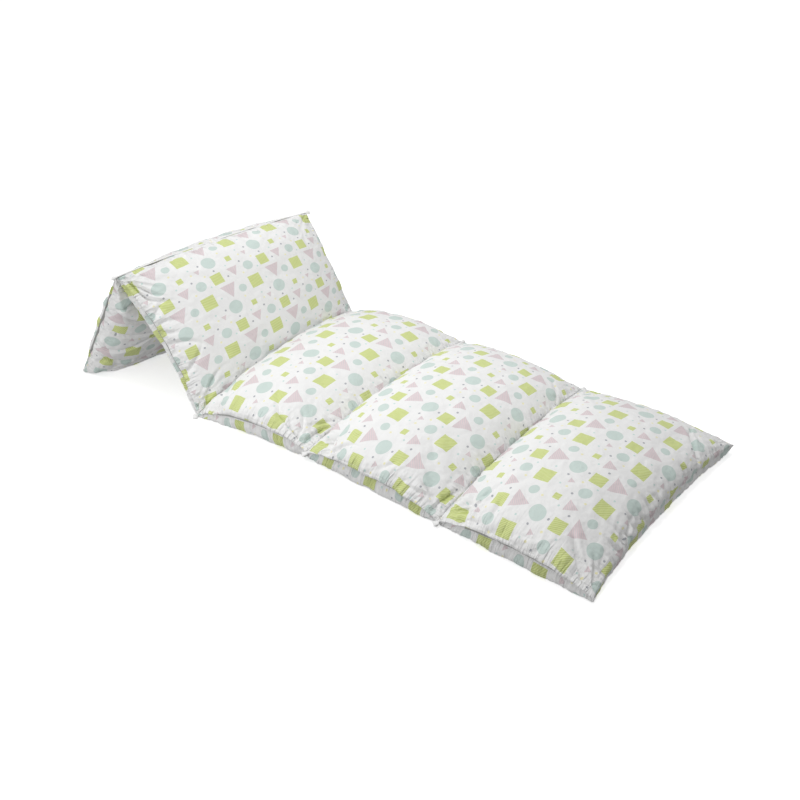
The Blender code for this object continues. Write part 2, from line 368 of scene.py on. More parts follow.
def even_shares(index, along):
    """Shares from seam to seam, even on the cloth and closer together near the seams."""
    fine = np.linspace(0.0, 1.0, FINE_STEPS + 1)
    u, v = np.meshgrid(*((fine, LANES) if along else (LANES, fine)), indexing="ij")
    axis = 0 if along else 1
    paths = [walked(pocket_form(index, u, v, side), axis) for side in (True, False)]
    path = sum(p.mean(axis=1 - axis) for p in paths)
    share = np.linspace(0.0, 1.0, (STEPS_ALONG if along else STEPS_ACROSS) + 1)
    share = share - EDGE_DENSITY * np.sin(2.0 * np.pi * share) / (2.0 * np.pi)
    return np.interp(share * path[-1], path, fine)


print("a cloth's grid:", STEPS_ALONG, "x", STEPS_ACROSS, "faces")

# %% [markdown]
# ## Sewing a pocket
# A real pocket is two cloths sewn together at their rims. A squashed cube would do for its shape,
# but its grid would not run along the cloth. So each cloth starts as a grid from
# `bmesh.ops.create_grid` whose vertices move to the form, and the two rims are bridged, which is
# the seam. The place of each vertex on its flat cut is kept, because it becomes the UV map and the
# shape that the cloth simulation pulls back to.

# %% How the print lies on each cloth
# along, across: the repeat's size in metres. lean, turn: how far it is pulled askew.
# start_along, start_across: the share of a repeat at the cloth's first corner.
Print = namedtuple("Print", "along across lean turn start_along start_across")
PLAIN_PRINT = Print(0.156, 0.170, 0.0, 0.0, 0.30, 0.20)
PRINTS = {
    ("pocket_head", True): Print(0.156, 0.170, 0.0, 0.0, 0.55, 0.05),
    ("pocket_head", False): Print(0.156, 0.170, 0.0, 0.0, 0.10, 0.30),
    ("pocket_back", True): Print(0.1464, 0.1730, 0.038, 0.022, 0.338, 0.033),
    ("pocket_back", False): Print(0.1562, 0.170, 0.0, 0.0, 0.30, 0.86),
    ("pocket_seat", True): Print(0.1572, 0.1780, -0.090, 0.037, 0.034, 0.259),
    ("pocket_seat", False): Print(0.1560, 0.170, 0.05, 0.0, 0.15, 0.80),
    ("pocket_middle", True): Print(0.1568, 0.1693, -0.092, 0.042, 0.173, 0.156),
    ("pocket_middle", False): Print(0.1560, 0.170, -0.04, 0.0, 0.55, 0.90),
    ("pocket_foot", True): Print(0.1513, 0.1653, -0.015, 0.011, 0.252, 0.205),
    ("pocket_foot", False): Print(0.1563, 0.1781, -0.111, 0.031, 0.920, 0.850),
}


def print_place(pocket, is_face, x, y):
    """A place on the flat cut, in metres, turned into repeats of the print."""
    lie = PRINTS[pocket.name, is_face]
    across = y / lie.across if is_face else -y / lie.across
    along = x / lie.along
    return along + lie.lean * across - lie.start_along, across + lie.turn * along - lie.start_across


print("print laid on", len(PRINTS), "cloths")

# %% Grids and cuts


def add_side(mesh_data, places):
    """A grid with its vertices at places[i, j], and a list of (vertex, i, j)."""
    count_u, count_v = places.shape[0] - 1, places.shape[1] - 1
    grid = bmesh.ops.create_grid(mesh_data, x_segments=count_u, y_segments=count_v, size=0.5)
    rows = []
    for vert in grid["verts"]:
        i = round((vert.co.x + 0.5) * count_u)
        j = round((vert.co.y + 0.5) * count_v)
        vert.co = places[i, j]
        rows.append((vert, i, j))
    return rows


def rim_edges(rows):
    """The edges at a grid's rim, which have a face on one side only."""
    edges = {edge for vert, _, _ in rows for edge in vert.link_edges}
    return [edge for edge in edges if len(edge.link_faces) == 1]


print("a cloth has", (STEPS_ALONG + 1) * (STEPS_ACROSS + 1), "vertices")

# %% Places on the flat cut


def places_on_cut(sides):
    """Each vertex's place on its cut: along, across, and 0 for the face or 1 for the back."""
    lengths = [walked(places, 0)[-1].max() for _, places in sides]
    widths = [walked(places, 1)[:, -1].max() for _, places in sides]
    print("walked over face and back, mm:", [round(x / MM) for x in lengths + widths])
    cut_length, cut_width = max(lengths), max(widths)
    cut = {}
    for side, (rows, places) in enumerate(sides):
        along, across = walked(places, 0), walked(places, 1)
        along = along / along[-1:] * cut_length
        across = across / across[:, -1:] * cut_width
        for vert, i, j in rows:
            cut[vert] = (along[i, j], across[i, j], side)
    return cut, cut_length, cut_width


# %% From a bmesh to an object


def add_object(name, mesh_data):
    """Turns a bmesh into a smooth-shaded object at the origin."""
    mesh = bpy.data.meshes.new(name)
    mesh_data.to_mesh(mesh)
    mesh_data.free()
    mesh.shade_smooth()
    made = bpy.data.objects.new(name, mesh)
    bpy.context.scene.collection.objects.link(made)
    return made


def write_vectors(mesh, name, values):
    """Keeps one vector for each vertex, for later cells and for the shader."""
    attribute = mesh.attributes.new(name, "FLOAT_VECTOR", "POINT")
    attribute.data.foreach_set("vector", values.ravel())


# %% Sew the pockets
Sewn = namedtuple("Sewn", "object cut length width")


def sew_pocket(index):
    """Both cloths of a pocket in one mesh, joined at their rims, with their print."""
    pocket = POCKETS[index]
    u, v = np.meshgrid(even_shares(index, True), even_shares(index, False), indexing="ij")
    mesh_data = bmesh.new()
    uv_layer = mesh_data.loops.layers.uv.new("cloth")
    sides = []
    for is_face in (True, False):
        places = open_mouth(pocket, pocket_form(index, u, v, is_face), u, is_face)
        sides.append((add_side(mesh_data, places), places))
    cut, cut_length, cut_width = places_on_cut(sides)
    rims = rim_edges(sides[0][0]) + rim_edges(sides[1][0])
    bmesh.ops.bridge_loops(mesh_data, edges=rims)
    for face in mesh_data.faces:
        is_face = any(cut[vert][2] == 0 for vert in face.verts)
        for loop in face.loops:
            x, y, _ = cut[loop.vert]
            loop[uv_layer].uv = print_place(pocket, is_face, x, y)
    bmesh.ops.recalc_face_normals(mesh_data, faces=mesh_data.faces)
    mesh_data.verts.index_update()
    flat = np.zeros((len(mesh_data.verts), 3))
    for vert, (x, y, side) in cut.items():
        flat[vert.index] = (x, y, CLOTH_PAIR * (0.5 - side))
    made = add_object(pocket.name + "_cloth", mesh_data)
    write_vectors(made.data, "cut_place", flat)
    print(f"{made.name}: cut {cut_length * 1000:.0f} x {cut_width * 1000:.0f} mm")
    return Sewn(made, flat, cut_length, cut_width)


sewn_pockets = [sew_pocket(index) for index in range(len(POCKETS))]

# %% [markdown]
# ## Filling the pockets
# The form so far is smooth, as if the cotton could shrink. Real cotton has to put its spare cloth
# somewhere, and that makes the folds that run out of the corners and along the mouths. They could
# all be drawn by hand, but a short cloth simulation finds the broad ones: the rest shape is the
# flat cut, the seams are pinned, and a light pressure stands in for the filling. The cloth may only
# move a little, so the size stays. The modifier is removed afterwards and its result is the mesh.

# %% What holds the cloth
FLOOR_HOLD = 1.5 * MM
PRESS_HOLD = 3 * MM


def read_points(mesh, name="co"):
    """The places or the normals of all vertices, one row for each."""
    values = np.zeros(len(mesh.vertices) * 3)
    mesh.vertices.foreach_get(name, values)
    return values.reshape(-1, 3)


def write_points(mesh, points):
    mesh.vertices.foreach_set("co", points.ravel())
    mesh.update()


def held_vertices(index, sewn, points):
    """Vertices on a seam, on the floor or pressed against a neighbour."""
    mesh = sewn.object.data
    ends = np.zeros(len(mesh.edges) * 2, int)
    mesh.edges.foreach_get("vertices", ends)
    ends = ends.reshape(-1, 2)
    on_face = sewn.cut[:, 2] > 0.0
    held = np.zeros(len(points), bool)
    held[ends[on_face[ends[:, 0]] != on_face[ends[:, 1]]].ravel()] = True
    held |= points[:, 2] < FLOOR_HOLD
    for line, normal in press_planes(index):
        held |= (points - np.array(line.near)) @ normal < PRESS_HOLD
    return np.nonzero(held)[0].tolist()


for index, sewn in enumerate(sewn_pockets):
    held = held_vertices(index, sewn, read_points(sewn.object.data))
    print(f"{sewn.object.name}: {len(held)} of {len(sewn.cut)} vertices are held")

# %% How the cotton behaves
# It is lighter than real cotton and resists bending little, so that a few frames fold it. Gravity
# is off, because the form already rests on the floor.
FILL_FRAMES = 14
COTTON_SETTINGS = {
    "quality": 5, "mass": 0.008, "air_damping": 1.0, "bending_model": "ANGULAR",
    "tension_stiffness": 15.0, "compression_stiffness": 15.0, "shear_stiffness": 5.0,
    "bending_stiffness": 0.002, "tension_damping": 1.0, "compression_damping": 1.0,
    "shear_damping": 1.0, "bending_damping": 0.05,
    "use_pressure": True, "uniform_pressure_force": 3.0,
}


def cotton_modifier(made, rest_key):
    """Cloth that is light and soft, so that a small pressure folds it."""
    cloth = made.modifiers.new("filling", "CLOTH")
    cloth.settings.rest_shape_key = rest_key
    cloth.settings.vertex_group_mass = "sewn"
    for name, value in COTTON_SETTINGS.items():
        setattr(cloth.settings, name, value)
    cloth.settings.effector_weights.gravity = 0.0
    cloth.collision_settings.use_collision = False
    cloth.point_cache.frame_end = FILL_FRAMES
    return cloth


print("the filling takes", FILL_FRAMES, "frames a pocket")

# %% Fill the pockets
SPARE_CLOTH = 1.06
FOLD_GAIN = 1.6
FOLD_LIMIT = 16 * MM
SEED_DEPTH = 2.5 * MM
SEED_WAVE = 40 * MM


def fill_pocket(index, sewn):
    """Runs the simulation and keeps a limited share of the move it finds."""
    made, mesh = sewn.object, sewn.object.data
    smooth = read_points(mesh)
    seeds = np.array([noise.noise(place / SEED_WAVE) for place in map(Vector, smooth)])
    write_points(mesh, smooth + read_points(mesh, "normal") * (SEED_DEPTH * seeds)[:, None])
    made.shape_key_add(name="sewn_form")
    key = made.shape_key_add(name="flat_cut")
    flat = sewn.cut * np.array((SPARE_CLOTH, SPARE_CLOTH, 1.0))
    key.data.foreach_set("co", flat.ravel())
    made.vertex_groups.new(name="sewn").add(held_vertices(index, sewn, smooth), 1.0, "REPLACE")
    cloth = cotton_modifier(made, key)
    for frame_number in range(1, FILL_FRAMES + 1):
        bpy.context.scene.frame_set(frame_number)
    settled = made.evaluated_get(bpy.context.evaluated_depsgraph_get())
    move = (read_points(settled.data) - smooth) * FOLD_GAIN
    made.modifiers.remove(cloth)
    made.shape_key_clear()
    size = np.linalg.norm(move, axis=1)
    limited = FOLD_LIMIT * np.tanh(size / FOLD_LIMIT) / np.maximum(size, 1e-9)
    write_points(mesh, above_floor(smooth + move * limited[:, None]))
    print(f"{made.name}: folds up to {size.max() * 1000:.0f} mm before the limit")


for index, sewn in enumerate(sewn_pockets):
    fill_pocket(index, sewn)
bpy.context.scene.frame_set(1)

# %% [markdown]
# ## Sharp folds
# The simulation gives the broad folds. Cotton also breaks into short sharp ones: gathers along the
# seams, and creases that run out of the corners. A simulation fine enough for them would take
# hours, so each is pressed in as a narrow trough with a raised lip beside it. The marked ones lie
# where they do on the real lounger, and a seeded generator scatters the rest. One level of
# subdivision first makes the mesh fine enough to carry them.

# %% Where the main folds are
# x, y: the fold's middle as a share of the cut. heading: in degrees, 0 along the lounger.
# length, width, depth: in millimetres.
Fold = namedtuple("Fold", "x y heading length width depth")
MARKED_FOLDS = {
    ("pocket_head", False): (
        Fold(0.14, 0.11, 80.0, 110, 7, 8), Fold(0.27, 0.10, 108.0, 120, 7, 9),
        Fold(0.39, 0.12, 72.0, 130, 7, 9), Fold(0.53, 0.11, 100.0, 120, 7, 9),
        Fold(0.66, 0.12, 118.0, 120, 7, 8), Fold(0.79, 0.11, 78.0, 100, 7, 8),
    ),
    ("pocket_back", True): (
        Fold(0.144, 0.05, 25.0, 90, 9, 9), Fold(0.235, 0.06, 42.0, 75, 9, 9),
        Fold(0.38, 0.05, 80.0, 60, 8, 8), Fold(0.533, 0.06, 73.0, 85, 9, 9),
        Fold(0.688, 0.07, 122.0, 90, 9, 8), Fold(0.848, 0.10, 133.0, 85, 9, 8),
        Fold(0.238, 0.85, -20.0, 90, 10, 3), Fold(0.120, 0.028, 8.0, 110, 11, 10),
        Fold(0.300, 0.045, 118.0, 50, 8, 8), Fold(0.455, 0.045, 58.0, 45, 8, 7),
    ),
    ("pocket_seat", True): (
        Fold(0.150, 0.060, 99.0, 140, 28, 18), Fold(0.950, 0.080, 82.0, 110, 9, 9),
        Fold(0.154, 0.064, 57.0, 85, 10, 8), Fold(0.259, 0.102, 68.0, 75, 10, 5),
        Fold(0.729, 0.056, -28.0, 130, 9, 8), Fold(0.825, 0.040, -29.0, 70, 8, 6),
        Fold(0.857, 0.075, -58.0, 70, 9, 7), Fold(0.93, 0.132, 61.0, 65, 9, 5),
    ),
    ("pocket_middle", True): (
        Fold(0.125, 0.065, 99.0, 140, 26, 16), Fold(0.945, 0.075, 80.0, 110, 9, 9),
        Fold(0.10, 0.08, 50.0, 90, 10, 7), Fold(0.244, 0.055, 37.0, 80, 10, 7),
        Fold(0.590, 0.060, 49.0, 50, 9, 4), Fold(0.824, 0.040, 15.0, 75, 9, 5),
        Fold(0.866, 0.060, -25.0, 75, 9, 6), Fold(0.93, 0.82, -40.0, 80, 10, 5),
    ),
    ("pocket_foot", True): (
        Fold(0.125, 0.065, 99.0, 140, 26, 16), Fold(0.860, 0.800, -46.0, 130, 6, 11),
        Fold(0.835, 0.830, -50.0, 80, 6, 6), Fold(0.900, 0.835, -21.0, 60, 7, 6),
        Fold(0.925, 0.760, -15.0, 50, 7, 5), Fold(0.938, 0.265, 24.0, 70, 8, 5),
        Fold(0.927, 0.290, -62.0, 60, 8, 7), Fold(0.939, 0.340, -5.0, 45, 7, 5),
        Fold(0.832, 0.068, -44.0, 115, 9, 8), Fold(0.930, 0.079, -58.0, 65, 8, 7),
        Fold(0.225, 0.068, 80.0, 80, 10, 7), Fold(0.180, 0.073, 60.0, 70, 10, 8),
        Fold(0.327, 0.091, 93.0, 60, 9, 5), Fold(0.213, 0.139, 49.0, 70, 9, 5),
        Fold(0.945, 0.195, 14.0, 55, 8, 8), Fold(0.940, 0.240, -16.0, 65, 8, 9),
        Fold(0.945, 0.315, -4.0, 65, 8, 9), Fold(0.950, 0.370, 16.0, 50, 8, 8),
        Fold(0.945, 0.420, -8.0, 60, 8, 8), Fold(0.950, 0.475, 10.0, 50, 8, 6),
        Fold(0.950, 0.560, -9.0, 45, 8, 5), Fold(0.950, 0.660, 8.0, 45, 8, 5),
    ),
}
MARKED_WIDTH = 0.62
MARKED_GAIN = 1.3


def marked_folds(pocket, is_face, length, width):
    """A pocket's main folds in metres on its cut, made narrower and deeper than they were read."""
    return [
        fold._replace(
            x=fold.x * length, y=fold.y * width, length=fold.length * MM,
            width=fold.width * MM * MARKED_WIDTH, depth=fold.depth * MM * MARKED_GAIN)
        for fold in MARKED_FOLDS.get((pocket.name, is_face), ())
    ]


print("marked folds:", sum(len(folds) for folds in MARKED_FOLDS.values()))

# %% Gathers along the seams
GATHER_PITCH = 24 * MM
GATHER_FIRST, GATHER_LAST = 40 * MM, 30 * MM
GATHER_LENGTH = 85 * MM
GATHER_WIDTH = 4 * MM
GATHER_DEPTH = 3.4 * MM
GATHER_SHIFT = (-12.0, 12.0)  # millimetres
GATHER_SIZE = (0.4, 1.0)
GATHER_TURN = (-22.0, 22.0)


def gathers(random, run, place, heading, gain):
    """Short folds square to a seam. place(t) is a point on the seam."""
    made = []
    for start in np.arange(GATHER_FIRST, run - GATHER_LAST, GATHER_PITCH):
        x, y = place(start + random.uniform(*GATHER_SHIFT) * MM)
        size = random.uniform(*GATHER_SIZE)
        angle = heading + random.uniform(*GATHER_TURN)
        depth = GATHER_DEPTH * size * gain
        made.append(Fold(x, y, angle, GATHER_LENGTH * size, GATHER_WIDTH, depth))
    return made


print("gathers on a metre of seam:", round(1.0 / GATHER_PITCH))

# %% Folds out of the corners
CORNER_FOLDS = 5
CORNER_FAN = (-34.0, 34.0)
CORNER_TURN = (-7.0, 7.0)
CORNER_START = 22 * MM
CORNER_RUN = (60.0, 130.0)  # millimetres, as the width and depth
CORNER_WIDTH = (5.0, 8.0)
CORNER_DEPTH = (2.0, 4.5)


def corner_folds(random, x, y, heading):
    """Folds that fan out of a corner, whose middle one heads into the cloth."""
    made = []
    for turn in np.linspace(*CORNER_FAN, CORNER_FOLDS):
        angle = heading + turn + random.uniform(*CORNER_TURN)
        run = random.uniform(*CORNER_RUN) * MM
        reach = CORNER_START + run / 2.0
        middle_x = x + reach * math.cos(math.radians(angle))
        middle_y = y + reach * math.sin(math.radians(angle))
        width, depth = random.uniform(*CORNER_WIDTH) * MM, random.uniform(*CORNER_DEPTH) * MM
        made.append(Fold(middle_x, middle_y, angle, run, width, depth))
    return made


print("folds out of a corner:", len(corner_folds(np.random.default_rng(0), 0.0, 0.0, 45.0)))

# %% All scattered folds of a cloth
SEAM_DISTANCE = 15 * MM
FAR_SIDE_SHARE = 0.45
BACK_SHARE = 0.5
DRAPE_FOLDS = 7
DRAPE_ALONG, DRAPE_ACROSS = (0.2, 0.8), (0.1, 0.9)
DRAPE_HEADING = (0.0, 180.0)
DRAPE_RUN = (0.14, 0.26)  # metres
DRAPE_WIDTH = 22 * MM
DRAPE_DEPTH = 2.0 * MM


def scattered_folds(seed, length, width):
    """Gathers on all four seams, folds out of the corners and broad shallow ones between."""
    random = np.random.default_rng(seed)
    made = gathers(random, width, lambda t: (SEAM_DISTANCE, t), 0.0, 1.0)
    made += gathers(random, width, lambda t: (length - SEAM_DISTANCE, t), 0.0, 1.0)
    made += gathers(random, length, lambda t: (t, SEAM_DISTANCE), 90.0, 1.0)
    made += gathers(random, length, lambda t: (t, width - SEAM_DISTANCE), 90.0, FAR_SIDE_SHARE)
    for x, y, heading in ((0.0, 0.0, 45.0), (length, 0.0, 135.0),
                          (0.0, width, -45.0), (length, width, -135.0)):
        made += corner_folds(random, x, y, heading)
    for _ in range(DRAPE_FOLDS):
        x, y = random.uniform(*DRAPE_ALONG) * length, random.uniform(*DRAPE_ACROSS) * width
        heading, run = random.uniform(*DRAPE_HEADING), random.uniform(*DRAPE_RUN)
        made.append(Fold(x, y, heading, run, DRAPE_WIDTH, DRAPE_DEPTH))
    return made


print("scattered folds on a cloth:", len(scattered_folds(1, 0.45, 0.72)))

# %% [markdown]
# ## Creases and hems
# Between its folds, cotton is finely crumpled, and its hem is a doubled edge that its stitches draw
# in and pucker. Both could be bump in the material, but they change the outline of the edges, so
# they are pressed into the mesh as well, along the cloth's own normals.

# %% Small creases and hems
CRUMPLE_WAVE = 30 * MM
CRUMPLE_DEPTH = 1.8 * MM
CRUMPLE_FRACTAL = (0.8, 2.2, 3)  # roughness, step in frequency, octaves
CRUMPLE_START, CRUMPLE_STEP = 7.0, 3.0  # where the noise starts, and its step to the next pocket
EDGE_CRUMPLE = 1.6 * MM
EDGE_ZONE = 40 * MM
HEM_WIDTH, HEM_EDGE, HEM_STEP = 15 * MM, 1.2 * MM, 0.9 * MM  # width, softness, height
HEM_STITCH, STITCH_GROOVE, HEM_GROOVE = 11 * MM, 2.5 * MM, 0.8 * MM  # place, width, depth
HEM_PUCKER, PUCKER_ZONE = 0.5 * MM, 9 * MM
PUCKER_WAVE, PUCKER_DRIFT = 560.0, 37.0  # radians a metre


def crumple(points, edge, seed):
    """Small sharp-lined creases all over, deeper near the seams."""
    drift = Vector((CRUMPLE_STEP * seed, 0.0, CRUMPLE_START))
    rough = [noise.fractal(Vector(point) / CRUMPLE_WAVE + drift, *CRUMPLE_FRACTAL)
             for point in points]
    return np.abs(rough) * (CRUMPLE_DEPTH + EDGE_CRUMPLE * np.exp(-edge / EDGE_ZONE))


def hem_relief(x, y):
    """The doubled hem along a mouth, drawn in and puckered by its row of stitches."""
    step = HEM_STEP / (1.0 + np.exp((y - HEM_WIDTH) / HEM_EDGE))
    groove = HEM_GROOVE * np.exp(-(((y - HEM_STITCH) / STITCH_GROOVE) ** 2))
    ripple = np.sin(x * PUCKER_WAVE + 2.0 * np.sin(x * PUCKER_DRIFT))
    ripple = ripple * np.exp(-(((y - HEM_STITCH) / PUCKER_ZONE) ** 2))
    return step - groove + HEM_PUCKER * ripple


print("hem relief from the rim in, mm:",
      [round(float(hem_relief(0.2, y * MM)) / MM, 1) for y in (0, 5, 11, 15, 25)])

# %% The relief of folds
FOLD_SHARPNESS = 1.2
FOLD_LIP = 0.2
LIP_PLACE = 1.6
FOLD_BEND, BEND_VARIETY = 0.9, 7.0


def fold_relief(folds, x, y):
    """Height of the cloth over its smooth form, in metres."""
    total = np.zeros_like(x)
    for fold in folds:
        heading = math.radians(fold.heading)
        lengthwise = (x - fold.x) * math.cos(heading) + (y - fold.y) * math.sin(heading)
        sideways = (y - fold.y) * math.cos(heading) - (x - fold.x) * math.sin(heading)
        bend = FOLD_BEND * lengthwise ** 2 * math.sin(BEND_VARIETY * fold.heading)
        sideways = sideways + bend / (2.0 * fold.length)
        fade = np.exp(-((2.0 * lengthwise / fold.length) ** 2))
        trough = np.exp(-np.abs(sideways / fold.width) ** FOLD_SHARPNESS)
        lip = np.exp(-(((sideways - LIP_PLACE * fold.width) / fold.width) ** 2))
        total -= fold.depth * fade * (trough - FOLD_LIP * lip)
    return total


def cloth_folds(index, sewn, x, y, side):
    """Relief of the marked and the scattered folds, on both cloths of a pocket."""
    relief = np.zeros_like(x)
    for is_face, chosen in ((True, side > 0.0), (False, side <= 0.0)):
        folds = marked_folds(POCKETS[index], is_face, sewn.length, sewn.width)
        spread = scattered_folds(10 * index + int(is_face), sewn.length, sewn.width)
        if not is_face:
            spread = [fold._replace(depth=fold.depth * BACK_SHARE) for fold in spread]
        relief[chosen] = fold_relief(folds + spread, x[chosen], y[chosen])
    return relief


places_across = np.arange(5) * 5 * MM
one_fold = fold_relief([Fold(0.0, 0.0, 0.0, 0.1, 5 * MM, 5 * MM)], np.zeros(5), places_across)
print("across one fold, mm:", (one_fold / MM).round(1))

# %% The mesh that carries them
# SHADE_FADE: at each end of a pocket this share of its length gets no painted shade in its mouth.
SHADE_FADE = 0.18  # the share of a pocket's length before its mouth is deep enough to be dark
SHADE_LEVEL = 0.4 * CLOTH_PAIR


def read_cut(mesh):
    """The place of each vertex on its flat cut."""
    values = np.zeros(len(mesh.vertices) * 3)
    mesh.attributes["cut_place"].data.foreach_get("vector", values)
    return values.reshape(-1, 3)


def refine_mesh(made):
    """Replaces an object's mesh by a once subdivided one."""
    subdivision = made.modifiers.new("finer", "SUBSURF")
    subdivision.levels = subdivision.render_levels = 1
    subdivision.uv_smooth = "NONE"
    coarse = made.data
    evaluated = made.evaluated_get(bpy.context.evaluated_depsgraph_get())
    made.data = bpy.data.meshes.new_from_object(evaluated)
    made.modifiers.remove(subdivision)
    bpy.data.meshes.remove(coarse)
    made.data.name = made.name
    made.data.shade_smooth()


def paint_mouth_shade(sewn, over):
    """Gives the inside of the mouth, under the hem, the second material, which is grey painted
    shade.
    """
    mesh = sewn.object.data
    corners = np.zeros(len(mesh.loops), int)
    mesh.loops.foreach_get("vertex_index", corners)
    x, y, side = read_cut(mesh)[corners].reshape(-1, 4, 3).mean(axis=1).T
    in_reach = np.minimum(x, sewn.length - x) > SHADE_FADE * sewn.length
    painted_mouth_shade = in_reach & (y < MOUTH_TUCK) & (side * over < SHADE_LEVEL)
    mesh.polygons.foreach_set("material_index", painted_mouth_shade.astype(np.int32))


for sewn in sewn_pockets:
    refine_mesh(sewn.object)
    print(f"{sewn.object.name}: {len(sewn.object.data.polygons)} faces")

# %% Press the folds in
EDGE_TAPER = 16 * MM
HEM_TAPER = 3.0
HEM_END = 48 * MM
WRINKLE_ZONE = 38 * MM


def press_folds(index, sewn):
    """Moves the cloth along its normals by the height of its folds, creases and hem."""
    mesh = sewn.object.data
    x, y, side = read_cut(mesh).T
    to_end, to_side = np.minimum(x, sewn.length - x), np.minimum(y, sewn.width - y)
    near = [np.exp(-distance / WRINKLE_ZONE) for distance in (to_end, to_side)]
    write_vectors(mesh, "near_seam", np.stack((*near, np.zeros_like(x)), axis=1))
    edge = np.minimum(to_end, to_side)
    taper = np.clip(edge / EDGE_TAPER, 0.0, 1.0)
    points = read_points(mesh)
    relief = (cloth_folds(index, sewn, x, y, side) + crumple(points, edge, index)) * taper
    hem_share = np.clip(to_end / HEM_END, 0.0, 1.0) ** 2
    relief += hem_relief(x, y) * np.clip(HEM_TAPER * taper, 0.0, 1.0) * hem_share
    write_points(mesh, above_floor(points + read_points(mesh, "normal") * relief[:, None]))
    # The faces inside each mouth get painted shade: a grey material where the deep opening would be
    # dark.
    paint_mouth_shade(sewn, over_side(POCKETS[index]))
    print(f"{sewn.object.name}: relief {relief.min() / MM:.1f} to {relief.max() / MM:.1f} mm")


for index, sewn in enumerate(sewn_pockets):
    press_folds(index, sewn)

# %% [markdown]
# ## Colours and nodes
# Colours are read off the cloth as sRGB hex values, and Blender's shaders work in linear light, so
# one function converts them. Another adds a node of any kind with its settings and its links, which
# keeps a long node tree readable.

# %% Colour and node helpers


def linear(hex_colour):
    """An sRGB hex colour in linear light, with an alpha of 1."""
    channels = [int(hex_colour[i:i + 2], 16) / 255.0 for i in (1, 3, 5)]
    light = [c / 12.92 if c <= 0.04045 else ((c + 0.055) / 1.055) ** 2.4 for c in channels]
    return (*light, 1.0)


def add_node(tree, kind, inputs=None, **settings):
    """Adds a node. inputs maps a socket to a value, an output, or a node for its first output."""
    node = tree.nodes.new("ShaderNode" + kind)
    for key, value in settings.items():
        setattr(node, key, value)
    for key, value in (inputs or {}).items():
        if isinstance(value, bpy.types.Node):
            value = value.outputs[0]
        if isinstance(value, bpy.types.NodeSocket):
            tree.links.new(value, node.inputs[key])
        else:
            node.inputs[key].default_value = value
    return node


print("middle grey is", round(linear("#808080")[0], 3), "in linear light")

# %% [markdown]
# ## The printed cotton
# The print is a small geometric repeat of 160 mm: hatched squares, striped triangles, circles and
# dots. A picture could be laid on the cloth, but a chart of motifs stays sharp at any size. A
# printer's repeat is one tile laid again and again, so the shader takes the cloth coordinate,
# subtracts a motif's place, and keeps the fraction of the repeat. What is left is the distance to
# the nearest copy of that motif, and a step on that distance draws it.

# %% The repeat's chart
REPEAT = 160 * MM
GREEN, GREEN_LINES = "#DBE3A4", "#C3CE80"
TEAL, PALE_TEAL = "#CCDAD5", "#CCDFDB"
PINK, PINK_LINES = "#D4CED0", "#E5D2D5"
GREY = "#AEB0B5"
YELLOW = "#EDE8BE"
# along, across: the motif's centre as a share of the repeat. lines: the colour of its hatching.
Motif = namedtuple("Motif", "kind along across size colour lines")
MOTIFS = (
    Motif("square", 0.000, 0.000, 40.0 * MM, GREEN, GREEN_LINES),
    Motif("square", 0.658, 0.356, 34.0 * MM, GREEN, GREEN_LINES),
    Motif("square", 0.373, 0.764, 17.0 * MM, GREEN, GREEN_LINES),
    Motif("circle", 0.293, 0.400, 41.5 * MM, TEAL, None),
    Motif("circle", 0.024, 0.698, 25.0 * MM, TEAL, None),
    Motif("circle", 0.655, 0.024, 30.5 * MM, TEAL, None),
    Motif("triangle", -0.025, 0.452, 50.0 * MM, PINK, PINK_LINES),
    Motif("triangle", 0.655, 0.709, 35.0 * MM, PINK, PINK_LINES),
    Motif("triangle", 0.387, 0.112, 17.0 * MM, PINK, PINK_LINES),
    Motif("circle", 0.266, 0.195, 6.0 * MM, GREY, None),
    Motif("circle", 0.490, 0.381, 6.0 * MM, GREY, None),
    Motif("circle", 0.699, 0.566, 6.0 * MM, GREY, None),
    Motif("circle", 0.512, 0.913, 6.0 * MM, GREY, None),
    Motif("circle", 0.187, 0.660, 6.0 * MM, YELLOW, None),
    Motif("circle", 0.379, 0.987, 6.0 * MM, YELLOW, None),
    Motif("circle", 0.514, 0.179, 6.0 * MM, YELLOW, None),
    Motif("circle", 0.760, 0.863, 6.0 * MM, YELLOW, None),
    Motif("circle", 0.032, 0.232, 5.5 * MM, PALE_TEAL, None),
    Motif("circle", 0.267, 0.989, 5.5 * MM, PALE_TEAL, None),
    Motif("circle", 0.485, 0.631, 5.5 * MM, PALE_TEAL, None),
    Motif("circle", 0.753, 0.178, 5.5 * MM, PALE_TEAL, None),
)
print(len(MOTIFS), "motifs in a repeat of", round(REPEAT / MM), "mm")

# %% Where a motif is, and its hatching
HATCH_PITCH = 4.6 * MM
DIAGONAL = 0.707


def offset_to(tree, repeats, motif):
    """The vector, in metres, from the nearest copy of a motif's centre."""
    corner = (motif.along - 0.5, motif.across - 0.5, 0.0)
    moved = add_node(tree, "VectorMath", {0: repeats, 1: corner}, operation="SUBTRACT")
    share = add_node(tree, "VectorMath", {0: moved}, operation="FRACTION")
    centred = add_node(tree, "VectorMath", {0: share, 1: (0.5, 0.5, 0.0)}, operation="SUBTRACT")
    size = (REPEAT, REPEAT, 0.0)
    return add_node(tree, "VectorMath", {0: centred, 1: size}, operation="MULTIPLY")


def hatching(tree, offset, motif):
    """Fine printed lines at 45 degrees to the cloth, from 0 between them to 1 on them."""
    heading = (DIAGONAL, -DIAGONAL if motif.kind == "square" else DIAGONAL, 0.0)
    across = add_node(tree, "VectorMath", {0: offset, 1: heading}, operation="DOT_PRODUCT")
    turns = add_node(tree, "Math", {
        0: across.outputs["Value"], 1: 2.0 * math.pi / HATCH_PITCH}, operation="MULTIPLY")
    wave = add_node(tree, "Math", {0: turns}, operation="SINE")
    return add_node(tree, "Math", {0: wave, 1: 0.5, 2: 0.5}, operation="MULTIPLY_ADD")


print("hatching on", sum(motif.lines is not None for motif in MOTIFS), "motifs, every",
      round(HATCH_PITCH / MM, 1), "mm")

